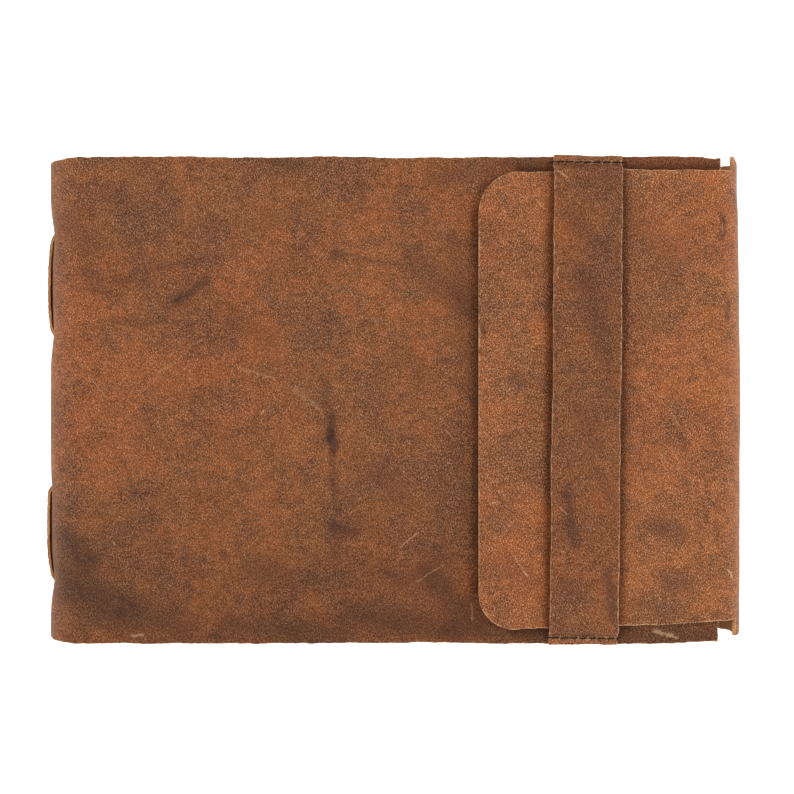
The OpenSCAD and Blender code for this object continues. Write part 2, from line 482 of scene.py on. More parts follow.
# ==== Stains and scratches, kept at the leather's points
SCRATCH_REACH = 3.0 * MM
stain_warp = (ripple(41, 9 * MM), ripple(42, 9 * MM), ripple(43, 3.5 * MM), ripple(44, 3.5 * MM))


def segment_frame(u, y, mark):
    """Each point's places along and across a mark's line, from its middle, and its half length."""
    ax, ay, bx, by = (value * MM for value in mark[:4])
    length = max(math.hypot(bx - ax, by - ay), 1e-6)
    dx, dy = (bx - ax) / length, (by - ay) / length
    u, y = u - (ax + bx) / 2, y - (ay + by) / 2
    return u * dx + y * dy, y * dx - u * dy, length / 2


def stain_and_shade_amount(uv, marks, ragged=1.0):
    """How dark a list of marks, stains or painted shade, makes each point, from 0 to 1. A mark is x0,
    y0, x1, y1, radius, strength.
    """
    u, y = uv[:, 0], uv[:, 1]
    u, y = (u + (0.7 * stain_warp[0](u, y) + 0.35 * stain_warp[2](u, y)) * ragged * MM,
            y + (0.7 * stain_warp[1](u, y) + 0.35 * stain_warp[3](u, y)) * ragged * MM)
    clean = np.ones(len(u))
    for mark in marks:
        along, across, half = segment_frame(u, y, mark)
        distance = np.hypot(np.maximum(np.abs(along) - half, 0), across)
        clean = clean * (1 - mark[5] * ease(1 - distance / (mark[4] * MM)))
    return 1 - clean


def nearest_scratch(uv, marks):
    """Each point's place in the frame of the scratch nearest to it, in that scratch's radii,
    and the scratch's strength, which is 0 out of its reach."""
    best = np.full(len(uv), np.inf)
    place = np.full((len(uv), 3), 9.0)
    strength = np.zeros(len(uv))
    for mark in marks:
        along, across, half = segment_frame(uv[:, 0], uv[:, 1], mark)
        distance = np.hypot(np.maximum(np.abs(along) - half, 0), across)
        nearer = distance < best
        best[nearer] = distance[nearer]
        radius = mark[4] * MM
        frame_place = np.stack([along, across, np.full(len(uv), half)], axis=1) / radius
        place[nearer] = frame_place[nearer]
        strength[nearer] = mark[5] * (distance[nearer] < SCRATCH_REACH)
    return place, strength


def mark_leather(obj, uv, stains, scratches, painted_shade):
    """Stores the stains, the painted shade and the scratches at the points of obj."""
    set_float(obj, "stain", stain_and_shade_amount(uv, stains))
    # Painted shade beside the strap and flap, with less ragged sides than the stains
    set_float(obj, "painted_shade", stain_and_shade_amount(uv, painted_shade, 0.25))
    place, strength = nearest_scratch(uv, scratches)
    set_float(obj, "scratch_strength", strength)
    attribute = obj.data.attributes.new("scratch", "FLOAT_VECTOR", "POINT")
    attribute.data.foreach_set("vector", place.astype(np.float32).ravel())


def scratch_mask(n, wobble):
    """1 on the middle line of a scratch, easing to 0 at its radius."""
    place = n.add("ShaderNodeAttribute", attribute_name="scratch").outputs["Vector"]
    axes = n.axes(place)
    strength = n.stored("scratch_strength")
    past = n.math("SUBTRACT", n.math("ABSOLUTE", axes["X"]), axes["Z"])
    past = n.math("MAXIMUM", past, 0.0)
    across = n.plus(axes["Y"], wobble)
    square = n.plus(n.product(past, past), n.product(across, across))
    return n.product(n.remap(n.math("SQRT", square), 1.0, 0.0, smooth=True), strength)


# Leather colours, linear
UMBER = (0.050, 0.021, 0.013)
PIT = (0.044, 0.012, 0.0035)
DUSK = (0.092, 0.032, 0.0155)
BROWN = (0.138, 0.040, 0.0095)
ORANGE = (0.242, 0.064, 0.0105)
TAN = (0.58, 0.325, 0.185)
PALE = (0.62, 0.38, 0.21)

# Tints that multiply the leather's colour
SHADE_TINT = (0.38, 0.27, 0.16)                # painted shade beside the strap and flap
RUSSET = (1.015, 0.965, 0.95)             # the hide drifts between this one
OCHRE = (0.985, 1.015, 1.02)              # and this one

# Scales of the leather's patterns, in patterns per metre
DRIFT, PATCHES, MOTTLE, SPECKS, HAIRS, FLECKS = 15.0, 26.0, 70.0, 420.0, 3200.0, 3300.0
LIE_OF_HAIR = 38.0                        # degrees


def leather_mottling(n, place, bias):
    """The hide's colour from hand size down to a few millimetres, and its three patterns."""
    big = n.noise(place, PATCHES, 4.0, 0.60, 0.6)
    mid = n.noise(place, MOTTLE, 5.0, 0.68, 0.5)
    small = n.noise(place, SPECKS, 3.0, 0.6)
    mottle = n.plus(n.product(big, 0.62), n.product(mid, 0.38))
    colour = n.mix(n.remap(mottle, 0.42 - bias, 0.58 - bias), BROWN, ORANGE)
    dusky = n.remap(n.plus(mid, n.product(small, 0.6)), 0.80, 0.62)
    return n.mix(n.product(dusky, 0.38), colour, DUSK), mottle, mid, small


def leather_grain(n, place):
    """The grain, from 0 to 1: short hairs that lie mostly one way, and flecks."""
    hair = n.noise(n.scaled(place, 1.0, 0.5, 1.0, turn=LIE_OF_HAIR), HAIRS, 2.0, 0.6, 0.6)
    fleck = n.noise(place, FLECKS, 1.0, 0.5)
    return n.plus(n.product(hair, 0.62), n.product(fleck, 0.38))


def with_grain(n, colour, grain, small):
    lit = n.remap(grain, 0.515, 0.615)
    dim = n.remap(grain, 0.49, 0.38)
    colour = n.mix(n.product(lit, 0.70), colour, TAN)
    colour = n.mix(n.product(dim, 0.85), colour, PIT)
    return n.times(colour, n.grey(n.remap(small, 0.35, 0.65, 0.84, 1.16)))


def with_tints(n, colour, place):
    """A slow drift from russet to ochre."""
    drift = n.noise(place, DRIFT, 3.0, 0.6, 0.5)
    return n.times(colour, n.mix(n.remap(drift, 0.40, 0.60), RUSSET, OCHRE))


def with_stains(n, colour, mid, small):
    """Dark stains, with soft ragged sides."""
    ragged = n.plus(n.remap(small, 0.3, 0.7, -0.5, 0.5), n.remap(mid, 0.3, 0.7, -0.35, 0.35))
    dark = n.product(n.stored("stain"), n.plus(1.0, ragged), clamp=True)
    return n.mix(dark, colour, UMBER)


def with_scratches(n, colour, grain, small):
    """Pale scratches and scuffs."""
    pale = scratch_mask(n, n.remap(small, 0.3, 0.7, -0.8, 0.8))
    pale = n.product(pale, n.remap(grain, 0.40, 0.60, 0.55, 1.0), clamp=True)
    return n.mix(pale, colour, PALE)


def with_raw_rim(n, colour, grain, small):
    """The pale, furry line along each cut edge."""
    fur = n.plus(n.stored("edge_mm"), n.remap(grain, 0.35, 0.65, 0.22, -0.22))
    fur = n.plus(fur, n.remap(small, 0.35, 0.65, 0.22, -0.16))
    rim = n.remap(fur, 0.44, 0.06, smooth=True)
    return n.mix(n.product(rim, 0.70), colour, PALE)


def leather(name, seed, tone=None, bias=0.0):
    """Distressed pull-up leather, with the stains and scratches stored by mark_leather.
    tone(nodes, place) returns a brightness factor that changes over the leather, and bias
    makes it more orange."""
    material, n = new_material(name)
    flat = n.flat_place()
    place = n.vector("ADD", flat, (0.0, 0.0, seed * 0.37))
    colour, mottle, mid, small = leather_mottling(n, place, bias)
    grain = leather_grain(n, place)
    colour = with_grain(n, colour, grain, small)
    colour = with_tints(n, colour, place)
    colour = with_stains(n, colour, mid, small)
    colour = with_scratches(n, colour, grain, small)
    # Painted shade: darkens the leather beside the strap and along the flap's edges, where shadow falls
    colour = n.mix(n.stored("painted_shade"), colour, n.times(colour, SHADE_TINT))
    if tone is not None:
        colour = n.times(colour, n.grey(tone(n, flat)))
    colour = with_raw_rim(n, colour, grain, small)

    shine = n.plus(mottle, n.product(grain, 0.5))
    roughness = n.remap(shine, 0.5, 1.0, 0.74, 0.58)
    height = n.plus(grain, n.product(small, 0.6))
    normal = n.bump(height, 0.55, 0.35 * MM)
    normal = n.bump(mid, 0.35, 1.2 * MM, normal)
    n.surface(colour, roughness, normal, specular=0.14, sheen=0.03)
    return material


def suede(name, dark, light, seed):
    """The flesh side and the cut edge: short matted fibres."""
    material, n = new_material(name)
    place = n.vector("ADD", n.object_place(), (0.0, 0.0, seed * 0.31))
    soft = n.noise(place, 130.0, 3.0, 0.6)
    fibre = n.noise(n.scaled(place, 1.0, 1.0, 1.6), 1500.0, 3.0, 0.75, 0.8)
    colour = n.mix(n.remap(soft, 0.35, 0.65), dark, light)
    colour = n.mix(n.remap(fibre, 0.54, 0.68, 0.0, 0.5), colour, PALE)
    colour = n.mix(n.remap(fibre, 0.46, 0.32, 0.0, 0.75), colour, PIT)
    n.surface(colour, n.remap(fibre, 0.3, 0.7, 0.95, 0.8), n.bump(fibre, 0.8, 0.4 * MM),
              specular=0.15, sheen=0.08)
    return material


def paper_material():
    material, n = new_material("paper")
    place = n.object_place()
    tooth = n.noise(place, 900.0, 4.0, 0.7)
    cloud = n.noise(place, 40.0, 3.0, 0.5)
    colour = n.mix(n.remap(cloud, 0.35, 0.65), (0.74, 0.675, 0.55), (0.78, 0.72, 0.60))
    colour = n.mix(n.remap(tooth, 0.42, 0.25, 0.0, 0.25), colour, (0.60, 0.52, 0.40))
    n.surface(colour, n.remap(tooth, 0.3, 0.7, 0.92, 0.82), n.bump(tooth, 0.25, 0.1 * MM), specular=0.25)
    return material


def thread_material(name, dark, light, waxy):
    material, n = new_material(name)
    place = n.object_place()
    fibre = n.noise(n.scaled(place, 1.0, 2.5, 2.5), 2600.0, 3.0, 0.7)
    colour = n.mix(n.remap(fibre, 0.40, 0.70), dark, light)
    n.surface(colour, n.remap(fibre, 0.3, 0.7, waxy, waxy + 0.2), n.bump(fibre, 0.5, 0.12 * MM),
              specular=0.2)
    return material


# Dark stains and pale scratches, in mm: x0, y0, x1, y1, radius, strength. Each x is a place u on
# the flat hide, on the flap it is X in the frame, and on the strap it goes across it
FRONT_STAINS = [
    (-23.4, -7, -22.8, -15, 3.4, 0.9), (-22.8, -14, -22, -20.5, 2, 0.75),
    (-22.6, -20, -22, -46, 1.5, 0.45), (-26, 8, -23.8, -6, 2.4, 0.4),
    (-22.5, -46, -14, -48, 4, 0.5), (-22, -49, -21, -57, 5, 0.32),
    (-21.8, 53.6, -21, 52.8, 3.2, 0.62), (-19, 52.5, 2, 49.5, 1.8, 0.34),
    (-80.5, 36, -69, 43.5, 3, 0.72), (-82, 34, -76, 37, 4.2, 0.4),
    (-103, 28.5, -84, 28.5, 2.2, 0.36), (-86, 48, -64, 52, 2.2, 0.34),
    (-100, 43, -90, 44, 4, 0.32), (-112, 46, -104, 38, 5, 0.26),
    (-120, 66, -112, 56, 8, 0.28), (-106, 76, -96, 70, 7, 0.2),
    (-120, -50, -112, -58, 8, 0.55), (-118, -66, -100, -78, 13, 0.5),
    (-96, -76, -76, -84, 10, 0.4), (-67, -85.5, -64, -85, 3, 0.6),
    (-60, -82, -20, -85, 8, 0.38), (-16, -78, 20, -83, 9, 0.42),
    (12, -62, 27, -80, 9, 0.5), (-4, -62, 4, -66, 6, 0.3),
    (16, -56, 19, -58, 5, 0.35), (-52, -60, -36, -66, 8, 0.24),
    (20, -84, 60, -86, 6, 0.38), (84, -86, 116, -85.5, 5, 0.22),
    (8, 50, 26, 34, 9, 0.36), (22, 60, 28, -10, 6, 0.16),
    (24, -14, 28, -44, 6, 0.14), (-6, -26, 4, -36, 8, 0.22),
    (-66, -12, -56, -20, 7, 0.2), (-58, 30, -46, 22, 7, 0.2),
    (-12.5, 79, -12, 72, 1.8, 0.4), (-44, 86, -34, 85.5, 2.5, 0.45),
    (14, 80, 34, 85, 6, 0.32), (40, 86.5, 118, 86.5, 6, 0.42),
    (-50, 64, -34, 70, 6, 0.2), (2, 20, 10, 8, 7, 0.22),
]
FRONT_SCRATCHES = [
    (-111.5, 9, -105, 1, 0.4, 0.35), (2, -53.5, 8, -48.5, 0.35, 0.6),
    (28, -74, 28.3, -80, 0.45, 0.45), (-102.3, -51.8, -101.7, -52.6, 0.5, 0.8),
    (-48.5, -5.2, -47.8, -3.8, 0.35, 0.7), (-95.5, -85.6, -91.5, -85.3, 0.6, 0.75),
    (94.5, -84.2, 102.5, -86.4, 1.4, 0.85), (18.5, -11, 21, -13.5, 0.35, 0.45),
    (-72, 20.5, -70, 22, 0.4, 0.35), (-63, 58, -61, 55, 0.3, 0.4),
    (-8, 30, -6, 27, 0.3, 0.4), (-36, 4, -27, -4, 1.3, 0.2),
    (-86, 10, -80, 14, 0.5, 0.25), (8, -66, 18, -60, 0.5, 0.35),
    (-58, 12, -44, 8, 0.8, 0.22),
]
FLAP_STAINS = [
    (118.9, 67, 119.1, 59.5, 1.9, 0.72), (120.6, 35.5, 120.9, 30, 1.7, 0.62),
    (32.4, 26.5, 33.4, 25, 1.5, 0.55), (43, 8.4, 45.5, 6.6, 3.2, 0.48),
    (93, -46, 104, -48, 6, 0.34), (98, -65, 106, -68, 5, 0.38),
    (96, 60, 100, 46, 7, 0.2), (84, -10, 90, -24, 7, 0.18),
    (36, -60, 50, -66, 7, 0.26), (34, -38, 38, -46, 5, 0.2),
    (86, -74, 110, -78, 5, 0.22), (84, 72, 90, 56, 6, 0.18),
]
FLAP_SCRATCHES = [
    (99.5, -3, 103, -9, 0.35, 0.3), (46, -61.5, 48, -63.5, 0.6, 0.55),
    (34.5, -37.5, 37, -36.9, 0.4, 0.55), (121.5, -62, 123, -64.5, 1, 0.6),
    (52, 72, 54, 69.5, 0.3, 0.6), (43, -56, 44.5, -58.5, 0.4, 0.4),
    (118.8, 63.5, 119, 60.5, 0.35, 0.35),
]
BACK_STAINS = [
    (-290, 40, -262, 18, 10, 0.35), (-220, -30, -212, -58, 12, 0.35),
    (-330, -50, -352, -66, 14, 0.3), (-205, 60, -203, 30, 3, 0.5),
]

# Painted shade beside the strap and along the flap's edges, where shadow falls, in the same terms
FRONT_PAINTED_SHADE = [
    (30.6, -68, 31, 68, 4.2, 0.66), (30, 68, 46, 84, 3.5, 0.5),
    (46, 83.2, 118, 84, 2.9, 0.95), (30, -68, 44, -83, 4.5, 0.55),
    (44, -83.6, 84, -82.6, 3.6, 0.75), (84, -81.6, 118, -79.6, 2.6, 0.62),
]
FLAP_PAINTED_SHADE = [
    (56, -84, 57.6, 84, 4.2, 0.72), (81.4, -84, 83, 84, 3.7, 0.72),
]


def on_flap(marks):
    """The flap's marks, moved to their places on the flat hide."""
    shift = FLAP_SHIFT / MM
    return [(x0 + shift, y0, x1 + shift, y1, radius, strength)
            for x0, y0, x1, y1, radius, strength in marks]


def hide_tone(n, flat):
    """The front cover is darker towards its tail. The fore-edge and flap are lighter, most of all
    by the head."""
    axes = n.axes(flat)
    wall = (U_WALL + 10 * MM, U_WALL - 12 * MM)
    tail = n.remap(axes["Y"], -5 * MM, -80 * MM, 1.0, 0.76, smooth=True)
    tail = n.math("MAXIMUM", tail, n.remap(axes["X"], -120 * MM, -160 * MM))
    flap = n.remap(axes["X"], *wall, 1.0, 1.22, smooth=True)
    head = n.remap(axes["Y"], 70 * MM, 83 * MM, 0.0, 0.16, smooth=True)
    head = n.product(head, n.remap(axes["X"], *wall))
    return n.product(n.product(tail, flap), n.plus(1.0, head))


def strap_tone(n, flat):
    """The strap's ends past the stitches are brighter."""
    axes = n.axes(flat)
    past = n.math("ABSOLUTE", axes["Y"])
    limit = STRAP_END - STITCH_INSET
    return n.remap(past, limit, limit + 0.8 * MM, 0.97, 1.35)


STRAP_STAINS = [
    (-6, 66, 6, 54, 6, 0.3), (-2, 46, 4, 24, 7, 0.38),
    (6, 18, 9, 4, 5, 0.3), (-7, -33, -4, -52, 4, 0.55),
    (8, -62, 11, -78, 4.5, 0.52), (-3, -4, 3, -16, 6, 0.26),
    (-9, -66, -3, -70, 5, 0.26), (-2, 78, 8, 80, 4, 0.24),
    (4, -26, 9, -34, 4, 0.3),
]
STRAP_SCRATCHES = [
    (-11, 82.5, -8, 80.5, 0.7, 0.6), (-9.5, -39, -7, -41, 0.4, 0.5),
    (2, 64, 6, 58, 0.3, 0.2), (-11.5, 45, -11, 47.5, 0.5, 0.4),
]

HIDE_STAINS = FRONT_STAINS + on_flap(FLAP_STAINS) + BACK_STAINS
# Painted shade beside the strap and the flap's edges, moved to the flat hide
HIDE_PAINTED_SHADE = FRONT_PAINTED_SHADE + on_flap(FLAP_PAINTED_SHADE)
HIDE_SCRATCHES = FRONT_SCRATCHES + on_flap(FLAP_SCRATCHES)
hide_grain = leather("hide_grain", 1.0, hide_tone)
strap_grain = leather("strap_grain", 5.0, strap_tone, bias=-0.03)
thong_grain = leather("thong_grain", 9.0)
flesh = suede("flesh_side", (0.20, 0.062, 0.016), (0.38, 0.135, 0.038), 1.0)
raw_edge = suede("cut_edge", (0.44, 0.17, 0.055), (0.66, 0.34, 0.15), 2.0)
paper = paper_material()
dark_thread = thread_material("dark_thread", (0.008, 0.005, 0.004), (0.040, 0.026, 0.018), 0.65)
linen_thread = thread_material("linen_thread", (0.42, 0.33, 0.20), (0.66, 0.56, 0.40), 0.55)
HIDE_SKINS = [hide_grain, flesh, raw_edge]
STRAP_SKINS = [strap_grain, flesh, raw_edge]
THONG_SKINS = [thong_grain, flesh, raw_edge]


# ==== The hide: four parts, each shaped round one fold, with seams at the middle of the spine, of the back and of the fore-edge
GRID = 1.15 * MM
BACK_GRID = 2.2 * MM
SPINE_ZONE = 26 * MM                       # of the back, with finer rows
FORE_ZONE = 32 * MM                        # the same by the fore-edge
SPINE_RELIEF = 0.8 * MM                    # how far the edges draw in at the spine
SLIT_HALF = 0.62 * MM                      # half a slit's width along Y
SLIT_REACH = THONG_W / 2 + 0.15 * MM       # half a slit's length round the spine


def spine_relief(u):
    return SPINE_RELIEF * bell(u - U_SPINE, 16 * MM)


def bow(u):
    """The front cover's long edges bow in, most near their middle."""
    return bell(u - 5 * MM, 45 * MM)


def front_head(u):
    """Y of the hide's head edge, over the front cover, spine and back."""
    step = 0.55 * ease((u - 111.5 * MM) / (2.0 * MM))
    inward = 0.05 + 0.28 * bow(u) + step
    return HIDE_Y - inward * MM - spine_relief(u) + cut_wander(u, 1)


def front_tail(u):
    """Y of its tail edge."""
    right_end = 0.9 * ease((u - 100 * MM) / (14 * MM))
    inward = -0.05 + 0.3 * bow(u) + right_end
    return -HIDE_Y + inward * MM + spine_relief(u) + cut_wander(u, 2)


def wall_shift(u):
    """The wall's tail edge lies a little further towards the head than the back's."""
    return 0.35 * MM * ease((U_WALL + 30 * MM - u) / (30 * MM))


def tab_rise(u):
    """The wall's head edge dips half-way up and comes up again at its top corner."""
    dip = 0.75 * bell(u - U_WALL - 2 * MM, 5 * MM)
    corner = 0.1 * ease((U_WALL - 4 * MM - u) / (3 * MM))
    return (corner - dip) * MM


def back_head(u):
    return front_head(np.minimum(u, U_SPINE)) + tab_rise(u)


def back_tail(u):
    taper = 1.6 * MM * ease((U_SPINE - u - 20 * MM) / (U_SPINE - U_WALL))
    top = 0.9 * MM * ease((U_WALL - 2 * MM - u) / (6 * MM))
    return -HIDE_Y + spine_relief(u) + taper + wall_shift(u) + top + cut_wander(u, 2)


def rows_between(low, high, lines):
    """A y_of() for hide_piece. Its rows run from low(u) to high(u), spaced like lines."""
    share = (lines - lines[0]) / (lines[-1] - lines[0])

    def rows(u):
        bottom, top = low(u), high(u)
        return bottom[:, None] + (top - bottom)[:, None] * share[None, :]

    return rows


def plateau(y, low, high, soft):
    """1 between low and high, falling to 0 outside."""
    return 1 / (1 + np.exp(-(y - low) / soft)) * (1 / (1 + np.exp((y - high) / soft)))


SPINE_SWELL = 0.55                         # mm, away from the thongs
THONG_DIPS = (0.85, 0.45)                  # mm, under the head thong and the tail thong
SLIT_DIPS = (1.05, 0.75, 0.15, 1.20)       # mm, more at each slit


def spine_lift(u, y):
    """How far the spine stands out from its half ellipse. The binding pulls it in at each slit
    and between them."""
    soft = 3.5 * MM
    dip = THONG_DIPS[0] * plateau(y, SLITS[1], SLITS[0], soft)
    dip = dip + THONG_DIPS[1] * plateau(y, SLITS[3], SLITS[2], soft)
    for slit, depth in zip(SLITS, SLIT_DIPS):
        dip = dip + depth * bell(y - slit, 7 * MM)
    return bell(u - U_SPINE, 11 * MM) * (SPINE_SWELL - dip) * MM


def unslit(u, y):
    """Which places are in none of the spine's slits."""
    inside = np.zeros(u.shape, bool)
    for slit in SLITS:
        inside |= (np.abs(y - slit) < SLIT_HALF) & (np.abs(u - U_SPINE) < SLIT_REACH)
    return ~inside


def lift_front(u, x, y):
    """The front cover waves, and droops a little at its right edge."""
    flat = ease((x - SPINE_CX) / (20 * MM) + 0.4)
    droop = ease((x - FRONT_EDGE + 16 * MM) / (16 * MM))
    return cover_wave(x, y) * flat * (1 - droop) + spine_lift(u, y) - 0.3 * MM * droop


def lift_back(u, x, y):
    return spine_lift(u, y)


def lift_fore(u, x, y):
    """The fore-edge sinks in a little, more towards its head and tail, and leans in at its top
    corner by the head."""
    wave = 0.20 * wave_long(y, 0.3) + 0.10 * wave_short(y, 0.1)
    pinch = 1.1 * ease((y - 20 * MM) / (55 * MM)) + 0.5 * ease((-y - 60 * MM) / (26 * MM))
    lean = 1.3 * ease((y - 68 * MM) / (14 * MM)) * ease((U_WALL - 2 * MM - u) / (8 * MM))
    return bell(u - U_WALL, 14 * MM) * (wave - 0.45 - pinch - lean) * MM


FLAP_CURL = 1.7 * MM                       # at the flap's free side
CORNER_CURL = 0.5 * MM                     # more at its corners


def lift_flap(u, x, y):
    """The flap follows the front cover, and curls up past the strap."""
    over = ease((FORE_CX - x) / (12 * MM))
    free = np.clip((STRAP_X - STRAP_W / 2 - 2 * MM - x) / (24 * MM), 0, 1)
    corner = np.clip((np.abs(y) - 40 * MM) / (43 * MM), 0, 1)
    curl = FLAP_CURL * free ** 2 + CORNER_CURL * free * corner ** 2
    return lift_fore(u, x, y) + (cover_wave(x, y) + curl) * over


SPINE_Y = HIDE_Y - SPINE_RELIEF
slit_lines = [slit + side * SLIT_HALF for slit in SLITS for side in (-1, 1)]
front_rows = grid_lines(-SPINE_Y, SPINE_Y, GRID, cuts=(-SPINE_Y, SPINE_Y), extra=slit_lines)
back_rows = grid_lines(-SPINE_Y, SPINE_Y, BACK_GRID, cuts=(-SPINE_Y, SPINE_Y), extra=slit_lines)


def make_front():
    u = grid_lines(FRONT_EDGE, U_SPINE, GRID, cuts=(FRONT_EDGE,), extra=(U_SPINE + SLIT_REACH,))
    rows = rows_between(front_tail, front_head, front_rows)
    obj = hide_piece("hide_front", u, rows, unslit, lift_front, ("end",))
    slant_right_edge(obj)
    return obj


def slant_right_edge(obj):
    """The front cover's right edge leans in by a millimetre towards the tail."""
    co = np.empty(len(obj.data.vertices) * 3, np.float32)
    obj.data.vertices.foreach_get("co", co)
    co = co.reshape(-1, 3)
    near = ease((co[:, 0] - (FRONT_EDGE - 20 * MM)) / (20 * MM))
    near *= co[:, 2] > COVER_TOP / 2
    slant = 1.0 * MM * (0.5 - co[:, 1] / (2 * HIDE_Y)) - 0.3 * MM
    co[:, 0] -= near * (slant + cut_wander(co[:, 1], 3))
    obj.data.vertices.foreach_set("co", co.ravel())
    obj.data.update()


def make_spine_back():
    zone_end = U_SPINE - SPINE_ZONE
    u = np.concatenate([grid_lines(U_SPINE, zone_end, GRID, extra=(U_SPINE - SLIT_REACH,)),
                        grid_lines(zone_end, U_BACK, BACK_GRID)[1:]])
    rows = rows_between(back_tail, back_head, back_rows)
    return hide_piece("hide_spine_back", u, rows, unslit, lift_back, ("start", "end"))


def make_back_fore():
    zone_start = U_WALL + FORE_ZONE
    u = np.concatenate([grid_lines(U_BACK, zone_start, BACK_GRID),
                        grid_lines(zone_start, U_WALL, GRID)[1:]])
    rows = rows_between(back_tail, back_head, back_rows)
    return hide_piece("hide_back_fore", u, rows, unslit, lift_fore, ("start", "end"))


FLAP_HEAD = 82.5 * MM
FLAP_TAIL = -82.9 * MM
FLAP_TAIL_FOLD = -80.0 * MM
HEAD_CORNER = 15.2 * MM
TAIL_CORNER = 12.8 * MM


def corner_drop(u, radius):
    """How much the flap narrows at a rounded free corner."""
    inside = np.clip(radius - (u - U_TIP), 0, radius)
    return radius - np.sqrt(np.maximum(radius ** 2 - inside ** 2, 0))


def flap_head(u):
    lean = 1.0 * MM * ease((u - U_TIP) / (60 * MM))
    return FLAP_HEAD + lean - corner_drop(u, HEAD_CORNER) + cut_wander(u, 4)


def flap_tail(u):
    share = np.clip((u - U_TIP - 12 * MM) / (U_NOTCH - U_TIP - 12 * MM), 0, 1)
    line = FLAP_TAIL + (FLAP_TAIL_FOLD - FLAP_TAIL) * share ** 1.25
    return line + corner_drop(u, TAIL_CORNER) + cut_wander(u, 5)


def make_flap():
    tip_lines = U_TIP + HEAD_CORNER * (1 - np.cos(np.radians(np.linspace(0, 90, 30))))
    body = grid_lines(U_WALL, U_TIP + HEAD_CORNER, GRID, cuts=(U_NOTCH,), extra=(U_NOTCH,))
    u = np.concatenate([body[body > U_TIP + HEAD_CORNER + 0.2 * MM], tip_lines[::-1]])
    middle = grid_lines(FLAP_TAIL, FLAP_HEAD, GRID, cuts=(FLAP_TAIL, FLAP_HEAD))
    share = (middle - middle[0]) / (middle[-1] - middle[0])

    def rows(lines):
        low, high = flap_tail(lines), flap_head(lines)
        wall_low, wall_high = back_tail(lines), back_head(lines)
        below = np.linspace(0, 1, 9)[:-1]
        above = np.linspace(0, 1, 7)[1:]
        return np.concatenate([wall_low[:, None] + (low - wall_low)[:, None] * below,
                               low[:, None] + (high - low)[:, None] * share,
                               high[:, None] + (wall_high - high)[:, None] * above], axis=1)

    def keep(a, b):
        inside = (b > flap_tail(a)) & (b < flap_head(a))
        return inside | (a > U_NOTCH)

    return hide_piece("hide_flap", u, rows, keep, lift_flap, ("start",))


hide_front = make_front()
hide_spine_back = make_spine_back()
hide_back_fore = make_back_fore()
hide_flap = make_flap()


def bend_at(obj):
    """Bakes obj's transform into its mesh."""
    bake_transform(obj)


bend_at(hide_front)
bend_at(hide_spine_back)
bend_at(hide_back_fore)
bend_at(hide_flap)
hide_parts("front_panel", "spine_panel")
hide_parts("back_panel", "spine_panel")
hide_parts("back_panel", "fore_edge_wall")
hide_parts("closure_flap", "fore_edge_wall")


# ==== The strap
STRAP_LIFT_Y = 83.5 * MM
STRAP_DROP = 1.9 * MM
STRAP_ARCH = 0.8 * MM                      # along the strap
STRAP_CROWN = 0.25 * MM                    # across it
FINE_ZONE = 6.5 * MM                       # closer rows at each end
STITCH_Y = STRAP_END - STITCH_INSET


def strap_to_frame(x, y, z):
    """From the strap's own place to the frame: it leans a little."""
    c, s = math.cos(STRAP_TILT), math.sin(STRAP_TILT)
    return np.stack([STRAP_X + x * c - y * s, x * s + y * c, z], axis=-1)


def stitch_holes():
    """Places of the holes across the strap. The outer two are beside it, in the front cover."""
    holes = (np.arange(STITCH_COUNT + 1) - STITCH_COUNT / 2) * STITCH_PITCH
    holes[0] += 0.7 * MM
    holes[-1] -= 0.7 * MM
    return holes


def strap_grid():
    """Places across and along the strap, closer together near the stitches."""
    zone = grid_lines(STRAP_END - FINE_ZONE, STRAP_END, 0.4 * MM, cuts=(STRAP_END,))
    middle = grid_lines(-STRAP_END + FINE_ZONE, STRAP_END - FINE_ZONE, 1.0 * MM)[1:-1]
    y = np.concatenate([-zone[::-1], middle, zone])
    half = STRAP_W / 2
    x = grid_lines(-half, half, 0.55 * MM, cuts=(-half, half))[::-1]
    return np.meshgrid(x, y, indexing="ij")


def stitch_dents(x, y):
    """How deep the stitches press into the strap."""
    dent = np.zeros(x.shape)
    for row in (-STITCH_Y, STITCH_Y):
        dent += 0.15 * MM * bell(y - row, 0.7 * MM)
        for hole in stitch_holes()[1:-1]:
            dent += 0.45 * MM * bell(np.hypot(x - hole, y - row), 0.5 * MM)
    return dent


def raw_places(x, y, edge):
    """The distance from raw leather, which also shows round the stitch holes."""
    raw = edge + 0.15 * MM * (x < 0)
    for hole in stitch_holes()[1:-1]:
        raw = np.minimum(raw, np.hypot(x - hole, np.abs(y) - STITCH_Y) * 0.45)
    return raw


